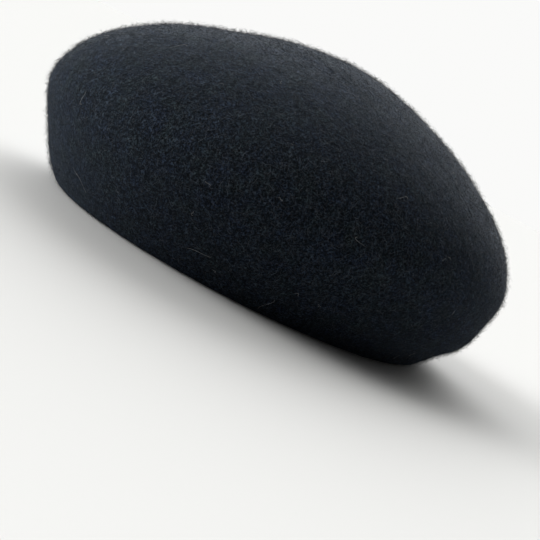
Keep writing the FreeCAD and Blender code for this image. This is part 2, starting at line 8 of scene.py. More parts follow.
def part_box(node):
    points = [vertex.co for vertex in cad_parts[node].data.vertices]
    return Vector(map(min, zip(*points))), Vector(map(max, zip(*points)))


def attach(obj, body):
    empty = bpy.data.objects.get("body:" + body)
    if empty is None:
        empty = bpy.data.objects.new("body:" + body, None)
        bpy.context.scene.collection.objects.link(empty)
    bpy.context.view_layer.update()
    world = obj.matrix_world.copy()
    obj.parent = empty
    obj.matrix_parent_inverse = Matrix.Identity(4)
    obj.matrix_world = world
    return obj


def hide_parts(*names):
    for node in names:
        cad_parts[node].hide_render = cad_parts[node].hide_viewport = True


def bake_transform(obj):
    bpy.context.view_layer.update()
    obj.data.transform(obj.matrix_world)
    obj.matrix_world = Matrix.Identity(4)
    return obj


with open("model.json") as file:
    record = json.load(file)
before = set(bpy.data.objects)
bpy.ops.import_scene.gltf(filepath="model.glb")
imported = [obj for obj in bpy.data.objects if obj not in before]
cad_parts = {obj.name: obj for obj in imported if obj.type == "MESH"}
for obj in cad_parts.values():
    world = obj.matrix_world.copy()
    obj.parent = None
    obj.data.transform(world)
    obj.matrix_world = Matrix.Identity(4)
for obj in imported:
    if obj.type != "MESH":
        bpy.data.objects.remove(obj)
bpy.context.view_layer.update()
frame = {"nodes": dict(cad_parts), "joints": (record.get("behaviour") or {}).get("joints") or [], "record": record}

# Lengths are in millimetres and are turned into metres when a mesh is made. Angles round the opening are in
# degrees from +X towards +Y: 270 is the wearer's face, 90 the centre back.

ROOT = "beret"
ADJUSTER = "adjuster"
MM = 0.001


def node_box(node):
    """Lowest and highest corner of a CAD node, in millimetres."""
    low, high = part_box(node)
    return np.array(low) / MM, np.array(high) / MM


def middle_height(node):
    """Height halfway up a CAD node, in millimetres."""
    low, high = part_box(node)
    return (low[2] + high[2]) / 2 / MM


# ---------------------------------------------------------------- sizes read from the frame

_, FELT_HIGH = node_box("felt_body")
WIDEST = FELT_HIGH[0]
CROWN = FELT_HIGH[2]
BAND_LOW, BAND_HIGH = node_box("sweatband")
BAND_R = BAND_HIGH[1]
OPENING = next(m for m in frame["record"]["mounts"] if m["name"] == "head_opening")
HEAD_R = OPENING["dims"]["r_mm"]
FELT = 2.8  # the felt's thickness
STITCH_Z = middle_height("sweatband_stitching")
SEAM_Z = middle_height("lining_seam")

# ---------------------------------------------------------------- noise

CELLS = 24  # the noise repeats after this many features
FAR_SIDE = 1000.0  # moves every point to the positive side of the noise's own origin


def ease(t):
    """Turns a straight change from 0 to 1 into one that starts and ends gently."""
    return t * t * (3 - 2 * t)


def noise(points, grain, seed):
    """Smooth noise between -1 and 1 at each point. grain is the size of its features in millimetres."""
    table = np.random.RandomState(seed).uniform(-1, 1, (CELLS, CELLS, CELLS))
    place = np.asarray(points, float) / grain + FAR_SIDE
    cell = np.floor(place).astype(int)
    part = ease(place - cell)
    out = np.zeros(place.shape[:-1])
    for corner in np.ndindex(2, 2, 2):
        share = [np.abs(1 - corner[k] - part[..., k]) for k in range(3)]
        x, y, z = [(cell[..., k] + corner[k]) % CELLS for k in range(3)]
        out += share[0] * share[1] * share[2] * table[x, y, z]
    return out


# ---------------------------------------------------------------- meshes


def enclosed(vertices, face_sets):
    """Volume inside closed faces. It is negative when the faces look inwards."""
    total = 0.0
    for faces in face_sets:
        first = vertices[faces[:, 0]]
        for k in range(1, faces.shape[1] - 1):
            total += np.sum(first * np.cross(vertices[faces[:, k]], vertices[faces[:, k + 1]]))
    return total / 6


def make_mesh(name, vertices, face_sets, material):
    """A smooth mesh from vertices in millimetres and arrays of faces, each array with one number of sides."""
    mesh = bpy.data.meshes.new(name)
    vertices = np.asarray(vertices, float).reshape(-1, 3) * MM
    face_sets = [np.asarray(faces, np.int32) for faces in face_sets]
    if enclosed(vertices, face_sets) < 0:
        face_sets = [faces[:, ::-1] for faces in face_sets]
    corners = np.concatenate([faces.ravel() for faces in face_sets])
    sides = np.concatenate([np.full(len(faces), faces.shape[1], np.int32) for faces in face_sets])
    mesh.vertices.add(len(vertices))
    mesh.vertices.foreach_set("co", vertices.ravel())
    mesh.loops.add(len(corners))
    mesh.loops.foreach_set("vertex_index", corners)
    mesh.polygons.add(len(sides))
    mesh.polygons.foreach_set("loop_start", np.r_[0, np.cumsum(sides)[:-1]].astype(np.int32))
    mesh.polygons.foreach_set("loop_total", sides)
    mesh.polygons.foreach_set("use_smooth", np.full(len(sides), True))
    mesh.update()
    mesh.validate()
    mesh.materials.append(material)
    thing = bpy.data.objects.new(name, mesh)
    bpy.context.scene.collection.objects.link(thing)
    return thing


def grid_faces(rows, columns, wrap_rows, wrap_columns):
    """Quads of a grid of vertices numbered row by row."""
    i = np.arange(rows if wrap_rows else rows - 1)
    j = np.arange(columns if wrap_columns else columns - 1)
    a, b = np.meshgrid(i, j, indexing="ij")
    a2, b2 = (a + 1) % rows, (b + 1) % columns
    quads = [a * columns + b, a * columns + b2, a2 * columns + b2, a2 * columns + b]
    return np.stack(quads, -1).reshape(-1, 4)


def end_faces(rows, columns):
    """The two faces that close a strip whose rows run all the way round its section."""
    first = np.arange(rows) * columns
    return np.stack([first[::-1], first + columns - 1])


def grid(name, points, material, wrap_rows=True):
    """A mesh from an array of points, rows by columns by 3. Its columns run all the way round Z."""
    rows, columns = points.shape[:2]
    return make_mesh(name, points, [grid_faces(rows, columns, wrap_rows, True)], material)


def along(points, step):
    """A polyline resampled at even spacing."""
    reach = np.r_[0, np.cumsum(np.linalg.norm(np.diff(points, axis=0), axis=1))]
    at = np.linspace(0, reach[-1], max(2, int(round(reach[-1] / step)) + 1))
    return np.stack([np.interp(at, reach, points[:, k]) for k in range(points.shape[1])], -1)


def arc(centre, radius, start, end, step=2.0):
    """Points (r, z) on an arc between two directions in degrees."""
    count = max(3, int(abs(end - start) / step) + 1)
    a = np.radians(np.linspace(start, end, count))
    return np.stack([centre[0] + radius * np.cos(a), centre[1] + radius * np.sin(a)], -1)


def sideways(profile):
    """Unit normals of an (r, z) profile, pointing to the left of its direction of travel."""
    d = np.gradient(profile, axis=0)
    d /= np.linalg.norm(d, axis=1)[:, None]
    return np.stack([-d[:, 1], d[:, 0]], -1)


def turn_profile(profile, angles):
    """An (r, z) profile turned round Z through the given angles in radians."""
    r, z = profile[:, 0][:, None], profile[:, 1][:, None]
    return polar(r, angles, z + 0 * angles[None, :])


def polar(r, angles, z):
    """Points at radius r, angle in radians and height z."""
    return np.stack([r * np.cos(angles), r * np.sin(angles), z], -1)


def angle_of(points):
    """Direction of each point round Z, in radians."""
    return np.arctan2(points[..., 1], points[..., 0])


def radius_of(points):
    """Distance of each point from Z."""
    return np.linalg.norm(points[..., :2], axis=-1)


def tubes(name, lines, radii, sides, material):
    """Closed thin tubes along many lines. lines is count by points by 3, and radii is count by points."""
    lines = np.asarray(lines, float)
    count, length = lines.shape[:2]
    d = np.gradient(lines, axis=1)
    d /= np.linalg.norm(d, axis=2)[..., None] + 1e-9
    mean = d.mean(axis=1)
    helper = np.where(np.abs(mean[:, 2:3]) < 0.8, [[0, 0, 1.0]], [[1.0, 0, 0]])
    u = np.cross(d, helper[:, None, :])
    u /= np.linalg.norm(u, axis=2)[..., None] + 1e-9
    v = np.cross(d, u)
    a = (np.arange(sides) * 2 * math.pi / sides)[None, None, :, None]
    ring = u[:, :, None, :] * np.cos(a) + v[:, :, None, :] * np.sin(a)
    points = lines[:, :, None, :] + ring * np.asarray(radii)[:, :, None, None]
    per_tube = length * sides
    first = (np.arange(count) * per_tube)[:, None, None]
    walls = (grid_faces(length, sides, False, True)[None] + first).reshape(-1, 4)
    ends = np.stack([np.arange(sides)[::-1], per_tube - sides + np.arange(sides)])
    ends = (ends[None] + first).reshape(-1, sides)
    return make_mesh(name, points, [walls, ends], material)


def install(thing, body, node=None):
    """Lets a piece move with a body. node is the CAD piece it stands for, and that piece is hidden."""
    if node:
        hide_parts(node)
    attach(thing, body)


# ---------------------------------------------------------------- materials


class Nodes:
    """A node tree being wired up."""

    def __init__(self, tree):
        self.tree = tree

    def fill(self, node, inputs):
        """Links each input that is given a socket, and sets the others to their value."""
        for key, value in inputs.items():
            if isinstance(value, bpy.types.NodeSocket):
                self.tree.links.new(value, node.inputs[key])
            else:
                node.inputs[key].default_value = value

    def add(self, kind, inputs=None, **settings):
        node = self.tree.nodes.new(kind)
        for key, value in settings.items():
            setattr(node, key, value)
        self.fill(node, inputs or {})
        return node

    def shade(self, shader, **values):
        """Fills the shader's sockets. An underscore in a name stands for a space."""
        self.fill(shader, {key.replace("_", " "): value for key, value in values.items()})

    def noise(self, vector, scale, detail=2.0, rough=0.5, distortion=0.0):
        """Noise whose scale is in features per metre."""
        inputs = {"Vector": vector, "Scale": scale, "Detail": detail}
        inputs.update(Roughness=rough, Distortion=distortion)
        return self.add("ShaderNodeTexNoise", inputs).outputs["Fac"]

    def ramp(self, value, low, high, colours):
        """Colours spread between two values."""
        node = self.add("ShaderNodeValToRGB", {"Fac": value})
        places = np.linspace(low, high, len(colours))
        ramp = node.color_ramp
        while len(ramp.elements) < len(colours):
            ramp.elements.new(0.5)
        for element, place, colour in zip(ramp.elements, places, colours):
            element.position = float(place)
            element.color = (*colour, 1)
        return node.outputs["Color"]

    def mix(self, fac, a, b, blend="MIX"):
        """Two colours mixed: the mix node's colour sockets are its inputs 6 and 7 and its output 2."""
        return self.add("ShaderNodeMix", {0: fac, 6: a, 7: b}, data_type="RGBA", blend_type=blend).outputs[2]

    def math(self, operation, a, b=0.0):
        return self.add("ShaderNodeMath", {0: a, 1: b}, operation=operation).outputs[0]

    def bump(self, height, depth_mm, strength):
        inputs = {"Height": height, "Distance": depth_mm * MM, "Strength": strength}
        return self.add("ShaderNodeBump", inputs).outputs["Normal"]


def new_material(name):
    """A material with only its Principled shader, and the wiring helper for it."""
    material = bpy.data.materials.new(name)
    material.use_nodes = True
    nodes = Nodes(material.node_tree)
    shader = material.node_tree.nodes["Principled BSDF"]
    place = nodes.add("ShaderNodeTexCoord").outputs["Object"]
    return material, nodes, shader, place


def shades(colour, *factors):
    """The same colour at several strengths."""
    return [tuple(c * factor for c in colour) for factor in factors]


# The felt's colours from its darkest to its lightest clumps, and what grain and patches multiply them by.
FELT_COLOURS = [(0.0036, 0.006, 0.0112), (0.0084, 0.0134, 0.0238), (0.018, 0.025, 0.0385)]
GRAIN_FACTORS = [(0.03, 0.04, 0.05), (0.5, 0.5, 0.5), (5.0, 4.7, 4.1)]
PATCH_FACTORS = [(1.02, 1.06, 0.84), (0.97, 1.0, 0.96), (0.93, 0.98, 1.12)]


def felt_material():
    """Blue-black wool felt: mottled grain of matted fibres with faint blue and green patches."""
    material, n, shader, at = new_material("wool_felt")
    grain = n.noise(at, 1020, 4, 0.85, 0.45)
    clumps = n.noise(at, 420, 3, 0.6, 0.4)
    patches = n.noise(at, 90, 3, 0.6, 0.3)
    base = n.ramp(clumps, 0.3, 0.7, FELT_COLOURS)
    fine = n.ramp(grain, 0.41, 0.6, GRAIN_FACTORS)
    tint = n.ramp(patches, 0.35, 0.65, PATCH_FACTORS)
    colour = n.mix(1.0, n.mix(1.0, base, fine, "MULTIPLY"), tint, "MULTIPLY")
    height = n.math("ADD", n.math("MULTIPLY", grain, 0.45), clumps)
    n.shade(
        shader, Base_Color=colour, Roughness=0.95, Normal=n.bump(height, 0.8, 0.9),
        Sheen_Weight=0.12, Sheen_Roughness=0.5, Sheen_Tint=(0.42, 0.56, 0.78, 1), Specular_IOR_Level=0.15,
    )
    return material


def plain_material(name, colour, rough, sheen=0.0, specular=0.3):
    """A fibre or moulded finish of one colour, dyed a little unevenly."""
    material, n, shader, at = new_material(name)
    dye = n.noise(at, 700, 2, 0.6)
    n.shade(
        shader, Base_Color=n.ramp(dye, 0.3, 0.7, shades(colour, 0.7, 1.0, 1.35)), Roughness=rough,
        Sheen_Weight=sheen, Specular_IOR_Level=specular,
    )
    return material


FELT_M = felt_material()
FUZZ_M = plain_material("felt_nap", (0.025, 0.034, 0.048), 0.9, 0.15)
MATTED_M = plain_material("felt_matted", (0.13, 0.155, 0.19), 0.9, 0.1)
PALE_M = plain_material("stray_fibre", (0.42, 0.43, 0.43), 0.8, 0.2)

# ---------------------------------------------------------------- the felt's section, (r, z)

# The outer face is five arcs, and each meets the next smoothly: crown, brow, shoulder, skirt (the underside)
# and rim roll. The hem turns up inside the rim.
CROWN_ARC, BROW_ARC, SHOULDER_ARC, SKIRT_ARC, RIM_ROLL, HEM_ROLL = 164.0, 50.0, 22.2, 104.0, 5.5, 3.6
FOOT_R, HEM_R, HEM_TOP, SHOULDER_Z = 98.0, 92.9, 14.0, 46.0
PEAK, PEAK_R, PEAK_ABOVE = 1.9, 88.0, 60.0  # the crown's top stands PEAK above the dome, fading out to PEAK_R
SECTION_STEP, INSIDE_STEP = 0.95, 4.0  # spacing of points on the outer and on the inner face

SHOULDER_C = np.array([WIDEST - SHOULDER_ARC, SHOULDER_Z])
CROWN_C = np.array([0.0, CROWN - CROWN_ARC])
ROLL_C = np.array([FOOT_R, RIM_ROLL])
HEM_C = np.array([HEM_R + HEM_ROLL, HEM_ROLL])


def crossing(a, reach_a, b, reach_b):
    """Where two circles cross, to the left of the line from a to b."""
    gap = b - a
    length = np.linalg.norm(gap)
    ahead = gap / length
    step = (reach_a**2 - reach_b**2 + length**2) / (2 * length)
    return a + ahead * step + np.array([-ahead[1], ahead[0]]) * math.sqrt(reach_a**2 - step**2)


def bearing(centre, point):
    """Direction from centre to point, in degrees."""
    return math.degrees(math.atan2(point[1] - centre[1], point[0] - centre[0]))


BROW_C = crossing(CROWN_C, CROWN_ARC - BROW_ARC, SHOULDER_C, BROW_ARC - SHOULDER_ARC)
SKIRT_C = crossing(ROLL_C, SKIRT_ARC - RIM_ROLL, SHOULDER_C, SKIRT_ARC - SHOULDER_ARC)
TO_BROW = bearing(CROWN_C, BROW_C)
TO_SHOULDER = bearing(BROW_C, SHOULDER_C)
TO_SKIRT = bearing(SKIRT_C, SHOULDER_C)
TO_ROLL = bearing(SKIRT_C, ROLL_C)


def outer_section(depth=0.0, peak=PEAK):
    """The felt's outer face from the crown's top to the rim fold's foot, or a face that depth inside it."""
    section = np.vstack([
        arc(CROWN_C, CROWN_ARC - depth, 90, TO_BROW, 0.5),
        arc(BROW_C, BROW_ARC - depth, TO_BROW, TO_SHOULDER)[1:],
        arc(SHOULDER_C, SHOULDER_ARC - depth, TO_SHOULDER, TO_SKIRT)[1:],
        arc(SKIRT_C, SKIRT_ARC - depth, TO_SKIRT, TO_ROLL, 0.5)[1:],
        arc(ROLL_C, RIM_ROLL - depth, TO_ROLL, -90, 8)[1:],
    ])
    r, z = section.T
    lift = np.where(r < PEAK_R, np.cos(np.clip(r / PEAK_R, 0, 1) * math.pi / 2) ** 2, 0)
    section[:, 1] += peak * lift * (z > PEAK_ABOVE)
    return section


def felt_section():
    """The whole closed section: outer face, rim fold, hem, and back up the inside. Returns it with the number
    of points on the outer face and on the inner face."""
    outside = along(outer_section(), SECTION_STEP)
    fold = arc(HEM_C, HEM_ROLL, -90, -180, 12)
    hem = np.array([[HEM_R, z] for z in np.linspace(HEM_ROLL, HEM_TOP - 0.8, 8)[1:]])
    hem_edge = arc((HEM_R + FELT / 2, HEM_TOP - FELT / 2), FELT / 2, 170, 10, 25)
    hem_back = np.array([[HEM_R + FELT, z] for z in np.linspace(HEM_TOP - 1.6, HEM_ROLL, 5)])
    crease = arc(HEM_C, HEM_ROLL - FELT, 180, 270, 30)
    inside = along(outer_section(FELT)[::-1], INSIDE_STEP)
    return np.vstack([outside, fold, hem, hem_edge, hem_back, crease, inside]), len(outside), len(inside)


CLEAR_OF_LINING = 0.9  # the felt's inner face comes no further in than this
FELT_ANGLES = np.linspace(0, 2 * math.pi, 720, endpoint=False)
STEADY_Z, LOOSE_OVER = 3.0, 14.0  # the rim is round up to STEADY_Z, and over the next LOOSE_OVER it loosens

# Waves in the felt and the grain of its face: size of the features, seed, and how far they stand out.
WAVES = [(70, 11, 0.9), (33, 12, 0.35)]
GRAIN = [(6.5, 21, 0.10), (2.6, 22, 0.11), (1.5, 23, 0.08)]

# Where the soft felt stands out from the plain round shape: direction in degrees, height, width in degrees,
# extent up and down, and how far it stands out.
SWELLINGS = [
    (225, 77, 75, 15, 2.1),
    (225, 108, 95, 9, -2.6),
    (225, 24, 80, 15, -1.3),
    (45, 22, 60, 11, 3.3),
    (45, 76, 60, 12, 0.7),
]


def layered(points, layers):
    """Several layers of noise added up."""
    return sum(noise(points, grain, seed) * amount for grain, seed, amount in layers)


def felt_shape(points):
    """How far the soft felt stands out from its plain section at each point."""
    around = np.degrees(angle_of(points))
    z = points[..., 2]
    out = layered(points, WAVES)
    for direction, height, width, deep, amount in SWELLINGS:
        off = (around - direction + 180) % 360 - 180
        out = out + amount * np.exp(-((off / width) ** 2) - ((z - height) / deep) ** 2)
    return out * np.clip((z - STEADY_Z) / LOOSE_OVER, 0, 1)


def build_felt():
    """The felt, one closed sheet. Returns its finished outer face and that face's outward directions."""
    section, outer_count, inner_count = felt_section()
    points = turn_profile(section, FELT_ANGLES)
    out = turn_profile(sideways(section), FELT_ANGLES)
    push = felt_shape(points)
    row = np.arange(len(section))[:, None]
    outer = row < outer_count
    inner = row >= len(section) - inner_count
    push = np.where(inner, -np.maximum(push, -CLEAR_OF_LINING), np.where(outer, push, 0.0))
    moved = points + out * push[..., None]
    moved += out * (layered(points, GRAIN) * outer)[..., None]
    felt = grid("felt_body_soft", moved, FELT_M, wrap_rows=False)
    install(felt, ROOT, "felt_body")
    return moved[:outer_count], out[:outer_count]


SURFACE, OUTWARD = build_felt()


BARE_BELOW = 4.0  # no fibre starts lower than this, and none reaches below FIBRE_FLOOR
FIBRE_FLOOR = 0.15
SUNK_ROOT = 0.08  # how far under the felt's face a fibre starts
MOSTLY_SHORT = 1.6  # above 1 it makes short fibres commoner than long ones


def pick_roots(count, rng):
    """Even random places on the felt's outer face: point, outward normal, and a direction along the face."""
    corner = SURFACE[:-1]
    dz = np.linalg.norm(SURFACE[1:] - corner, axis=2)
    dx = np.linalg.norm(np.roll(corner, -1, axis=1) - corner, axis=2)
    weight = (dx * dz * (corner[..., 2] > BARE_BELOW)).ravel()
    pick = rng.choice(weight.size, count, p=weight / weight.sum())
    row, column = np.divmod(pick, SURFACE.shape[1])
    f, g = rng.rand(2, count, 1)
    near, far = SURFACE[row, column], SURFACE[row, (column + 1) % SURFACE.shape[1]]
    point = near + (far - near) * f + (SURFACE[row + 1, column] - near) * g
    normal = OUTWARD[row, column]
    spin = rng.normal(size=(count, 3))
    lie = np.cross(normal, spin)
    lie /= np.linalg.norm(lie, axis=1)[:, None]
    return point, normal, lie


def fibres(rng, count, length, rise, curl, points):
    """Curved lines that start just under the felt's face. length and rise are ranges, and rise is how steeply
    a fibre leaves the face."""
    root, normal, lie = pick_roots(count, rng)
    side = np.cross(normal, lie)
    size = length[0] + (length[1] - length[0]) * rng.rand(count, 1) ** MOSTLY_SHORT
    lift = rng.uniform(*rise, (count, 1))
    bend = rng.normal(0, curl, (count, 1))
    wave = rng.uniform(0, 2 * math.pi, (count, 1))
    lines = []
    for s in np.linspace(0, 1, points):
        up = lift * size * (s - 0.35 * s * s) - SUNK_ROOT
        ahead = size * s * np.sqrt(np.clip(1 - lift**2, 0.05, 1))
        across = bend * size * s * s + curl * 0.35 * size * (np.sin(wave + 5 * s) - np.sin(wave))
        lines.append(root + normal * up + lie * ahead + side * across)
    lines = np.stack(lines, 1)
    lines[..., 2] = np.maximum(lines[..., 2], FIBRE_FLOOR)
    return lines


NAP_PIECES, FIBRES_EACH, STRAYS, STRAY_POINTS = 8, 7500, 70, 26
NAP_RADIUS, STRAY_RADIUS = 0.045, 0.055
MATTED = [("pale", MATTED_M, 0.06), ("dark", FUZZ_M, 0.08)]  # name, finish and radius
TAPER = np.array([1.0, 1.0, 0.9, 0.75, 0.4])  # a short fibre's radius from root to tip, as a share


def fibre_piece(name, lines, taper, sides, finish):
    """Fibres as one piece of thin tubes, with their radius in millimetres from root to tip."""
    install(tubes(name, lines, np.tile(taper, (len(lines), 1)), sides, finish), ROOT)


def build_fuzz():
    """Loose wool fibres: a short nap all over, matted fibres that lie flat, and a few long pale strays."""
    rng = np.random.RandomState(7)
    for k in range(NAP_PIECES):
        nap = fibres(rng, FIBRES_EACH, (0.8, 4.8), (0.35, 1.0), 0.4, len(TAPER))
        fibre_piece(f"felt_nap_{k + 1}", nap, TAPER * NAP_RADIUS, 3, FUZZ_M)
    for name, finish, radius in MATTED:
        flat = fibres(rng, FIBRES_EACH, (1.2, 4.5), (0.03, 0.14), 0.5, len(TAPER))
        fibre_piece(f"felt_matted_{name}", flat, TAPER * radius, 3, finish)
    strays = fibres(rng, STRAYS, (2.0, 7.0), (0.05, 0.35), 1.1, STRAY_POINTS)
    thin = np.interp(np.linspace(0, 1, STRAY_POINTS), [0, 0.1, 0.8, 1], [0.5, 1, 1, 0.3])
    fibre_piece("felt_stray_fibres", strays, thin * STRAY_RADIUS, 5, PALE_M)


build_fuzz()

# ---------------------------------------------------------------- finishes of the inner pieces


def ribbed_material(name, colour, rough, bump_mm=0.05):
    """Woven ribbon: fine uneven yarns over its modelled ribs."""
    material, n, shader, at = new_material(name)
    yarn = n.noise(at, 2600, 2, 0.6)
    cloud = n.noise(at, 60, 2, 0.5)
    yarns = n.ramp(yarn, 0.3, 0.7, shades(colour, 0.6, 1.0, 1.5))
    n.shade(
        shader, Base_Color=n.mix(n.math("MULTIPLY", cloud, 0.5), yarns, (*colour, 1)), Roughness=rough,
        Normal=n.bump(yarn, bump_mm, 0.6), Sheen_Weight=0.15,
    )
    return material


def satin_material(name, colour, rough=0.35):
    """Satin: smooth, with a soft broad shine and very fine floats."""
    material, n, shader, at = new_material(name)
    floats = n.noise(at, 1800, 1, 0.4)
    cloud = n.noise(at, 40, 2, 0.5)
    light = tuple(min(1.0, c * 1.35 + 0.002) for c in colour)
    n.shade(
        shader, Base_Color=n.ramp(cloud, 0.35, 0.65, [colour, light]), Roughness=rough,
        Normal=n.bump(floats, 0.03, 0.5), Sheen_Weight=0.3, Specular_IOR_Level=0.6,
    )
    return material


def thread_material(name, colour):
    """Twisted sewing thread: a tight slanting twist."""
    material, n, shader, at = new_material(name)
    inputs = {"Vector": at, "Scale": 900.0, "Distortion": 1.5, "Detail": 1.0}
    twist = n.add("ShaderNodeTexWave", inputs, bands_direction="DIAGONAL").outputs["Fac"]
    n.shade(
        shader, Base_Color=n.ramp(twist, 0.2, 0.8, shades(colour, 0.5, 1.0)), Roughness=0.5,
        Normal=n.bump(twist, 0.05, 0.7), Sheen_Weight=0.1,
    )
    return material


BAND_M = ribbed_material("grosgrain", (0.011, 0.012, 0.016), 0.6)
SATIN_M = satin_material("satin_lining", (0.012, 0.014, 0.021))
ELASTIC_M = ribbed_material("elastic", (0.02, 0.02, 0.022), 0.75)
WEBBING_M = ribbed_material("webbing", (0.014, 0.014, 0.016), 0.7)
HOOK_M = plain_material("hook_nylon", (0.016, 0.016, 0.018), 0.4, 0.0, 0.5)
PILE_M = plain_material("loop_pile", (0.02, 0.02, 0.023), 0.7, 0.4)
CARE_M = satin_material("white_satin", (0.72, 0.71, 0.67), 0.45)
WOVEN_M = ribbed_material("woven_label", (0.045, 0.05, 0.065), 0.55, 0.08)
BLACK_THREAD_M = thread_material("black_thread", (0.02, 0.02, 0.024))
WHITE_THREAD_M = thread_material("white_thread", (0.7, 0.69, 0.66))

# ---------------------------------------------------------------- ribbons bent round the opening


RIB_HEIGHT, CORD_HEIGHT = 0.07, 0.06
RIBBON_EDGE, EDGE_ROW = 0.4, 0.1  # a ribbon thins over its last RIBBON_EDGE; EDGE_ROW keeps the edge crisp
EDGE_THINNING = 0.35  # share of its thickness that each face loses at the edge


def ribbon(
    name, start, end, inner, outer, foot, top, material, ribs=None, cords=None, columns=None, shape=None
):
    """A closed flat band round Z between two angles in degrees. ribs is the pitch of ribs that run across it,
    and cords of cords that run along it, both in millimetres. shape moves the finished points."""
    reach = math.radians(end - start) * inner
    columns = columns or int(reach / (ribs / 4 if ribs else 1.0)) + 1
    angles = np.radians(np.linspace(start, end, columns))
    rows = max(8, int((top - foot) / (cords / 5 if cords else 2.0)))
    middle = np.linspace(foot + RIBBON_EDGE, top - RIBBON_EDGE, rows)
    z = np.r_[foot, foot + EDGE_ROW, middle, top - EDGE_ROW, top]
    rib, cord = np.zeros(columns), np.zeros(len(z))
    if ribs:
        rib = RIB_HEIGHT * np.cos(np.linspace(0, reach / ribs * 2 * math.pi, columns))
    if cords:
        cord = CORD_HEIGHT * np.cos((z - foot) / cords * 2 * math.pi)
    edge = np.clip(np.minimum(z - foot, top - z) / RIBBON_EDGE, 0, 1)
    thinner = ((outer - inner) * EDGE_THINNING * (1 - np.sqrt(edge)))[:, None] + RIB_HEIGHT
    face = rib[None, :] * edge[:, None] + cord[:, None]
    r = np.vstack([inner + thinner - face, (outer - thinner + face)[::-1]])
    points = polar(r, angles, np.r_[z, z[::-1]][:, None] + 0 * r)
    if shape:
        points = shape(points)
    faces = [grid_faces(len(r), columns, True, False), end_faces(len(r), columns)]
    return make_mesh(name, points, faces, material)


def at_radius(points, r):
    """The same points at another distance from Z."""
    factor = (r / radius_of(points))[..., None]
    return np.concatenate([points[..., :2] * factor, points[..., 2:]], -1)


RIPPLE, RIPPLE_SIZE, FREE_ABOVE = 0.35, 26, 15.0  # the band's ripples: height, size, and where they begin
STITCH_DENT, DENT_REACH = 0.28, 0.45


def slack(points):
    """The sweatband's free upper edge ripples slightly, as a worn ribbon does, and its head side is drawn in
    along the stitches."""
    z, r = points[..., 2], radius_of(points)
    free = np.clip((z - FREE_ABOVE) / 15, 0, 1) ** 2
    ripple = noise(points * [1, 1, 0.2], RIPPLE_SIZE, 31) * RIPPLE * free
    sunk = STITCH_DENT * np.exp(-(((z - STITCH_Z) / DENT_REACH) ** 2))
    return at_radius(points, r + ripple + np.where(r < HEAD_R + 0.4, sunk, 0))


def span(node):
    """Extent of a CAD node that lies along the ring: start and end angle in degrees, inner and outer radius,
    foot and top."""
    mesh = frame["nodes"][node]
    points = np.array([mesh.matrix_world @ v.co for v in mesh.data.vertices]) / MM
    angle = np.degrees(angle_of(points)) % 360
    r = radius_of(points)
    return angle.min(), angle.max(), r.min(), r.max(), points[:, 2].min(), points[:, 2].max()


BAND_RIBS, HALF_GAP = 0.95, 0.2  # pitch of the grosgrain's ribs, and half the gap between its ends in degrees


def build_band():
    """Sweatband, and the tab behind its butted ends."""
    start, end = 90 + HALF_GAP, 450 - HALF_GAP
    band = ribbon(
        "sweatband_grosgrain", start, end, HEAD_R, BAND_R, BAND_LOW[2], BAND_HIGH[2],
        BAND_M, ribs=BAND_RIBS, shape=slack,
    )
    install(band, ROOT, "sweatband")
    tab = ribbon("sweatband_join_tab", *span("sweatband_join"), BAND_M, ribs=BAND_RIBS)
    install(tab, ROOT, "sweatband_join")


build_band()


ELASTIC_THICK = 0.6
FOLDED = 5.0  # degrees of the elastic's sewn end that lie folded on the sweatband
FOLD_RAMP = 3.0  # degrees over which it leaves the sweatband


def build_elastic():
    """Elastic from its sewn end to the hook tab."""
    start, _, _, far, low, high = span("adjuster_elastic")
    tab_start = span("hook_tab")[0]
    near = far - ELASTIC_THICK
    fold_end = start + FOLDED

    def folds(points):
        """Turns the sewn end inwards on to the sweatband."""
        inward = ease(np.clip((fold_end + FOLD_RAMP - np.degrees(angle_of(points))) / FOLD_RAMP, 0, 1))
        return at_radius(points, radius_of(points) - inward * (near - BAND_R - 0.12))

    elastic = ribbon(
        "adjuster_elastic_knit", start, tab_start + 3.0, near, far, low, high, ELASTIC_M,
        cords=1.1, columns=160, shape=folds,
    )
    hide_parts("adjuster_elastic")
    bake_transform(elastic)


HOOK_RADIUS, HOOK_BASE = 0.06, 0.4
HOOK_ROWS, HOOK_TURN = 1.1, 0.7  # rows are this many millimetres apart, and hooks in a row this many degrees
HOOK_BEND = (0, 0.6, 1.2, 1.8, 2.4)


def build_hooks():
    """Webbing tab with the hook half: a base and rows of bent hooks that point at the loops."""
    tab = ribbon("hook_tab_webbing", *span("hook_tab"), WEBBING_M, ribs=1.2)
    install(tab, ADJUSTER, "hook_tab")
    start, end, near, far, low, high = span("hook_patch")
    base = ribbon("hook_patch_base", start, end, near + HOOK_BASE, far, low, high, HOOK_M, ribs=1.2)
    install(base, ADJUSTER, "hook_patch")
    hooks = np.array([
        [[near + 0.45 - 0.42 * math.sin(b), angle + 0.16 * (1 - math.cos(b)), z] for b in HOOK_BEND]
        for z in np.arange(low + 1.0, high - 0.6, HOOK_ROWS)
        for angle in np.arange(start + 0.5, end - 0.4, HOOK_TURN)
    ])
    hooks = polar(hooks[..., 0], np.radians(hooks[..., 1]), hooks[..., 2])
    install(tubes("hook_patch_hooks", hooks, np.full(hooks.shape[:2], HOOK_RADIUS), 4, HOOK_M), ADJUSTER)


PILE_RADIUS, PILE_BASE, PILE_LOOPS, PILE_RIBS = 0.03, 0.45, 1500, 0.9
LOOP_WIDE, LOOP_DEEP = 0.28, 0.34


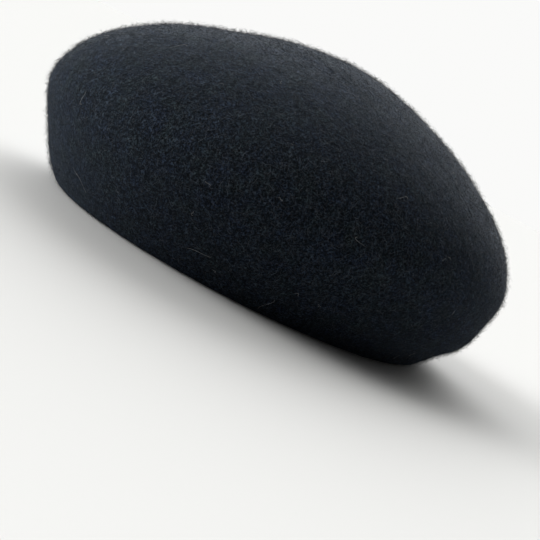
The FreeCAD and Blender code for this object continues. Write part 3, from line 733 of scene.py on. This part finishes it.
def build_loops():
    """Loop half on the sweatband's back: a base and a pile of small loops turned every way."""
    start, end, near, far, low, high = span("loop_patch")
    base = ribbon("loop_patch_base", start, end, near, near + PILE_BASE, low, high, PILE_M, ribs=PILE_RIBS)
    install(base, ROOT, "loop_patch")
    rng = np.random.RandomState(5)
    angle = rng.uniform(start + 0.5, end - 0.5, PILE_LOOPS)
    z = rng.uniform(low + 0.5, high - 0.5, PILE_LOOPS)
    turn = rng.uniform(0, 2 * math.pi, PILE_LOOPS)
    loops = []
    for b in np.linspace(-0.4, math.pi + 0.4, 6):
        across = LOOP_WIDE * math.cos(b)
        around = np.radians(angle) + across * np.cos(turn) / near
        loops.append(polar(near + 0.38 + LOOP_DEEP * math.sin(b), around, z + across * np.sin(turn)))
    loops = np.stack(loops, 1)
    install(tubes("loop_patch_pile", loops, np.full(loops.shape[:2], PILE_RADIUS), 3, PILE_M), ROOT)


build_elastic()
build_hooks()
build_loops()


# Half the care label's width, its ribbon's thickness and the inner radius of its fold.
LABEL_HALF, LABEL_PLY, LABEL_FOLD = 9.0, 0.22, 0.42
LABEL_ROWS, LABEL_COLUMNS = 46, 37


def build_care_label():
    """The care label, one folded ribbon from its sewn end to its fold."""
    top = node_box("care_label")[1][2]
    foot = node_box("care_label_end")[0][2]
    swing = next(j for j in frame["joints"] if j["name"] == "care_label_swing")
    pivot = np.array(swing["pos_m"]) / MM
    outward = np.array([pivot[0], pivot[1], 0]) / np.linalg.norm(pivot[:2])
    across = np.array([-outward[1], outward[0], 0])
    upright = np.linspace(foot, top - 0.5, LABEL_ROWS)
    turn = np.linspace(0, math.pi, 9)[1:-1]
    section = np.vstack([
        np.stack([0 * upright - LABEL_FOLD, upright], -1),
        np.stack([-LABEL_FOLD * np.cos(turn), top - 0.5 + LABEL_FOLD * np.sin(turn)], -1),
        np.stack([0 * upright + LABEL_FOLD, upright[::-1]], -1),
    ])
    normals = -sideways(section)
    height = section[:, 1][:, None]
    u = np.linspace(-LABEL_HALF, LABEL_HALF, LABEL_COLUMNS)[None, :]
    free = np.clip((height - pivot[2] - 1.5) / 28, 0, 1)
    bow = -0.9 * free**2 + 0.25 * free * (u / LABEL_HALF) ** 2
    bow = bow + 0.18 * np.sin(height / 4.1) * free * np.cos(u / 5.0)
    sheets = []
    for depth in (0.0, LABEL_PLY):
        x, z = (section + normals * depth).T
        offset = (x[:, None] + bow)[..., None] * outward + u[..., None] * across
        sheets.append(pivot + offset + (z - pivot[2])[:, None, None] * np.array([0, 0, 1.0]))
    points = np.concatenate([sheets[0], sheets[1][::-1]], 0)
    rows, columns = points.shape[:2]
    faces = [grid_faces(rows, columns, True, False), end_faces(rows, columns)]
    label = make_mesh("care_label_ribbon", points, faces, CARE_M)
    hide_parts("care_label", "care_label_end")
    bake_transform(label)


WOVEN_COLUMNS, WOVEN_ROWS, WEAVE = 157, 91, 1.3
LINING_DEEP = FELT + 1.5  # from the felt's outer face to the lining


def build_maker_label():
    """The blank woven label in the crown, with a raised border and thin edges."""
    low, high = node_box("maker_label")
    wide, deep = (high - low)[:2] / 2
    reach = CROWN_ARC - LINING_DEEP - 0.35
    grid_x, grid_y = np.linspace(-wide, wide, WOVEN_COLUMNS), np.linspace(-deep, deep, WOVEN_ROWS)
    x, y = np.meshgrid(grid_x, grid_y, indexing="ij")
    edge = np.minimum(wide - np.abs(x), deep - np.abs(y))
    weave = 0.035 * np.sin(x * 2 * math.pi / WEAVE) * np.sin(y * 2 * math.pi / WEAVE)
    border = 0.10 * np.exp(-(((edge - 1.6) / 0.5) ** 2))
    thin = 0.16 * np.exp(-edge / 0.25)

    def dome(radius):
        return np.sqrt(np.clip(radius**2 - x**2 - y**2, 1, None)) + CROWN_C[1]

    under = np.stack([x, y, dome(reach - 0.36) - weave - border + thin], -1)
    over = np.stack([x, y, dome(reach - 0.03) - thin * 0.4], -1)
    number = np.arange(x.size).reshape(x.shape)
    rim = np.r_[number[:, 0], number[-1, 1:], number[-2::-1, -1], number[0, -2:0:-1]]
    sides = np.stack([rim, np.roll(rim, -1), np.roll(rim, -1) + x.size, rim + x.size], -1)
    sheet = grid_faces(WOVEN_COLUMNS, WOVEN_ROWS, False, False)
    woven = make_mesh("maker_label_woven", [under, over], [sheet, sheet[:, ::-1] + x.size, sides], WOVEN_M)
    install(woven, ROOT, "maker_label")


build_care_label()
build_maker_label()

# ---------------------------------------------------------------- lining


def face_normals(points):
    """Unit normals of a grid of points whose columns run all the way round."""
    down = np.gradient(points, axis=0)
    round_z = np.roll(points, -1, axis=1) - np.roll(points, 1, axis=1)
    normal = np.cross(round_z, down)
    return normal / (np.linalg.norm(normal, axis=2)[..., None] + 1e-9)


def drape(points, pinned, spare, frames):
    """Lets a sheet of satin hang from its pinned points. spare is the share of extra cloth that it has."""
    rows, columns = points.shape[:2]
    sheet = grid("draping_sheet", points, SATIN_M, wrap_rows=False)
    group = sheet.vertex_groups.new(name="pinned")
    group.add([int(k) for k in np.nonzero(pinned.ravel())[0]], 1.0, "REPLACE")
    cloth = sheet.modifiers.new("cloth", "CLOTH")
    set_up = cloth.settings
    set_up.quality = 6
    set_up.mass = 0.0006
    set_up.tension_stiffness = set_up.compression_stiffness = 30.0
    set_up.shear_stiffness = 0.8
    set_up.bending_stiffness = 0.002
    set_up.air_damping = 1.0
    set_up.vertex_group_mass = "pinned"
    set_up.shrink_min = -spare
    cloth.collision_settings.use_collision = False
    cloth.point_cache.frame_start, cloth.point_cache.frame_end = 1, frames
    for number in range(1, frames + 1):
        bpy.context.scene.frame_set(number)
    bpy.context.view_layer.objects.active = sheet
    bpy.ops.object.modifier_apply(modifier="cloth")
    hung = np.zeros(rows * columns * 3)
    sheet.data.vertices.foreach_get("co", hung)
    bpy.context.scene.frame_set(1)
    bpy.data.objects.remove(sheet)
    return hung.reshape(rows, columns, 3) / MM


def crisp_edges(points, reach=0.15):
    """Adds a row close to the first and last rows of a grid, so that only the edge itself is shaded round."""

    def near_edge(edge, inner):
        gap = inner - edge
        return edge + gap * (reach / np.maximum(np.linalg.norm(gap, axis=-1), reach)[..., None])

    first, last = near_edge(points[0], points[1]), near_edge(points[-1], points[-2])
    return np.concatenate([points[:1], first[None], points[1:-1], last[None], points[-1:]])


LABEL_PINNED_R = 33.0  # the woven label's stitches hold the tip still inside this radius
SEAM_GAP = 0.04  # half the gap between tip and side at their seam
FINE_STEP, TIP_STEP, SIDE_STEP = 0.05, 1.9, 1.6  # spacing of points: whole section, tip, side
LEDGE_Z, LEDGE_ROUND, LINING_FOOT = 22.0, 6.0, 4.0  # below LEDGE_Z the side runs in over the hem to its foot
LINING_THICK, LINING_INWARD = 0.28, 0.02  # the satin's thickness, and how far it lies inside its section
PUCKERS = 72  # one between each two stitches of the seam
LINING_ANGLES = np.linspace(0, 2 * math.pi, 432, endpoint=False)
LINING_NODES = {"tip": "lining_crown", "side": "lining_side"}
LONG_FOLDS = [(20, 41, 0.5), (9, 42, 0.3)]
SOFT_WAVES = [(25, 43, 0.3)]
SPARE_CLOTH, HANGING_FRAMES = 0.003, 28


def lining_sections():
    """Sections of the tip, above the seam, and of the side, down over the hem to behind the sweatband."""
    section = along(outer_section(LINING_DEEP, 0.0), FINE_STEP)
    height = section[:, 1]
    tip = along(section[height > SEAM_Z + SEAM_GAP], TIP_STEP)
    side = section[(height < SEAM_Z - SEAM_GAP) & (height > LEDGE_Z)]
    ledge = arc((side[-1, 0] - LEDGE_ROUND, LEDGE_Z - 0.8), LEDGE_ROUND, -20, -90, 10)
    over_hem = arc((HEM_R + 1.4, HEM_TOP - 0.3), 1.5, 90, 180, 15)
    behind_band = [[HEM_R - 0.1, 8.0], [HEM_R - 0.1, LINING_FOOT]]
    return tip, along(np.vstack([side, ledge, over_hem, behind_band]), SIDE_STEP)


def folds_of_satin(points):
    """How far the satin stands in from its plain shape: puckers at the seam and long soft folds."""
    r, z = radius_of(points), points[..., 2]
    from_seam = np.abs(z - SEAM_Z)
    pucker = 0.28 * np.sin(LINING_ANGLES * PUCKERS)[None, :] * np.exp(-from_seam / 9.0)
    pucker = pucker * np.clip(from_seam / 2, 0, 1)
    loose = np.clip((z - 24) / 8, 0, 1) * np.clip(from_seam / 6, 0, 1)
    loose = loose * np.clip((r - LABEL_PINNED_R - 3) / 20, 0, 1)
    spread = polar(120 + 0 * r, LINING_ANGLES, r * 0.3)
    return pucker + (layered(spread, LONG_FOLDS) + layered(points, SOFT_WAVES)) * loose


def build_lining():
    """Satin tip and side. The tip hangs from its seam and from the woven label that is sewn through it."""
    tip, side = lining_sections()
    for name, face in (("tip", tip), ("side", side)):
        points = turn_profile(face - sideways(face) * LINING_INWARD, LINING_ANGLES)
        if face is tip:
            at_seam = np.arange(len(face))[:, None] >= len(face) - 2
            pinned = at_seam | (radius_of(points) < LABEL_PINNED_R)
            points = drape(points, pinned, SPARE_CLOTH, HANGING_FRAMES)
        points = crisp_edges(points)
        inward = -face_normals(points)
        middle = len(face) // 2
        inward *= np.sign(inward[middle, 0] @ -points[middle, 0])
        near = points + inward * folds_of_satin(points)[..., None]
        sheets = np.concatenate([near, (near + inward * LINING_THICK)[::-1]], 0)
        lining = grid(f"lining_{name}_satin", sheets, SATIN_M)
        install(lining, ROOT, LINING_NODES[name])


build_lining()


THREAD_FINISHES = {
    "lining_seam": BLACK_THREAD_M,
    "lining_tacks": BLACK_THREAD_M,
    "sweatband_stitching": BLACK_THREAD_M,
    "adjuster_anchor": BLACK_THREAD_M,
    "hook_tab_stitches": BLACK_THREAD_M,
    "care_label_stitches": WHITE_THREAD_M,
    "maker_label_stitches": BLACK_THREAD_M,
}


def finish_threads():
    """The stitches are the CAD's own solids with a thread finish."""
    for node, finish in THREAD_FINISHES.items():
        materials = frame["nodes"][node].data.materials
        materials.clear()
        materials.append(finish)


finish_threads()

# ---------------------------------------------------------------- stage


# Each light is a soft patch of sky: its direction, how sharp its edge is, and how strong it is.
LIGHTS = [((-1.75, 1.75, 1.0), 20.0, 11.0), ((-0.77, -0.71, 0.56), 30.0, 7.2)]
FILL, BACKDROP = 0.04, 0.955
FLOOR_SEEN, FLOOR_BOUNCE = (0.795, 0.795, 0.787, 1), (0.62, 0.62, 0.62, 1)
FLOOR_HALF = 7000.0

SENSOR, LENS, DISTANCE = 36.0, 89.2, 673.0
AZIMUTH, PITCH, ROLL = 45.0, 3.0, 27.6
AIM_Z = 58.0  # the camera is set out from the point at this height over the rim's centre
AIM_RIGHT, AIM_UP = 0.03667, 0.19389  # how far right of and above the middle it is seen, in frame widths


def build_sky():
    """Soft studio light from two patches of sky. The camera sees a plain pale backdrop instead."""
    world = bpy.data.worlds.new("studio")
    bpy.context.scene.world = world
    world.use_nodes = True
    n = Nodes(world.node_tree)
    direction = n.add("ShaderNodeTexCoord").outputs["Generated"]
    light = FILL
    for toward, sharpness, strength in LIGHTS:
        unit = Vector(toward).normalized()
        turned = n.add("ShaderNodeVectorMath", {0: direction, 1: unit[:]}, operation="DOT_PRODUCT")
        half = n.math("MULTIPLY", turned.outputs["Value"], 0.5)
        soft = n.math("MAXIMUM", n.math("ADD", half, 0.5), 0.0)
        light = n.math("ADD", n.math("MULTIPLY", n.math("POWER", soft, sharpness), strength), light)
    seen = n.add("ShaderNodeLightPath").outputs["Is Camera Ray"]
    level = n.add("ShaderNodeMix", {0: seen, 2: light, 3: BACKDROP}, data_type="FLOAT").outputs[0]
    n.fill(world.node_tree.nodes["Background"], {"Strength": level, "Color": (1.0, 1.0, 0.99, 1)})


def build_floor():
    """A pale floor that runs into the backdrop. It throws back less light than the camera sees on it."""
    material = bpy.data.materials.new("studio_floor")
    material.use_nodes = True
    tree = material.node_tree
    n = Nodes(tree)
    tree.nodes.remove(tree.nodes["Principled BSDF"])
    camera_ray = n.add("ShaderNodeLightPath").outputs["Is Camera Ray"]
    pale = n.add("ShaderNodeBsdfDiffuse", {"Color": FLOOR_SEEN}).outputs[0]
    dim = n.add("ShaderNodeBsdfDiffuse", {"Color": FLOOR_BOUNCE}).outputs[0]
    both = n.add("ShaderNodeMixShader", {0: camera_ray, 1: dim, 2: pale}).outputs[0]
    n.fill(tree.nodes["Material Output"], {"Surface": both})
    corners = [[x * FLOOR_HALF, y * FLOOR_HALF, 0] for x, y in ((-1, -1), (1, -1), (1, 1), (-1, 1))]
    make_mesh("studio_floor", corners, [[[0, 1, 2, 3]]], material)


def build_camera():
    """A long lens nearly level with the beret, rolled so that the level beret looks tilted as when worn."""
    view = bpy.data.cameras.new("camera")
    camera = bpy.data.objects.new("camera", view)
    bpy.context.scene.collection.objects.link(camera)
    bpy.context.scene.camera = camera
    view.sensor_width, view.lens = SENSOR, LENS
    view.clip_start, view.clip_end = 0.02, 30
    azimuth, pitch = math.radians(AZIMUTH), math.radians(PITCH)
    level_back = Vector((math.sin(azimuth), -math.cos(azimuth), 0))
    back = level_back * math.cos(pitch) + Vector((0, 0, math.sin(pitch)))
    camera.location = Vector((0, 0, AIM_Z * MM)) + back * DISTANCE * MM
    level = (-back).to_track_quat("-Z", "Y")
    rolled = level @ Quaternion((0, 0, 1), math.radians(ROLL))
    aim = Vector((AIM_RIGHT, AIM_UP, -LENS / SENSOR)).normalized()
    camera.rotation_mode = "QUATERNION"
    camera.rotation_quaternion = rolled @ aim.rotation_difference(Vector((0, 0, -1)))


build_sky()
build_floor()
build_camera()
bpy.context.scene.view_settings.view_transform = "Standard"
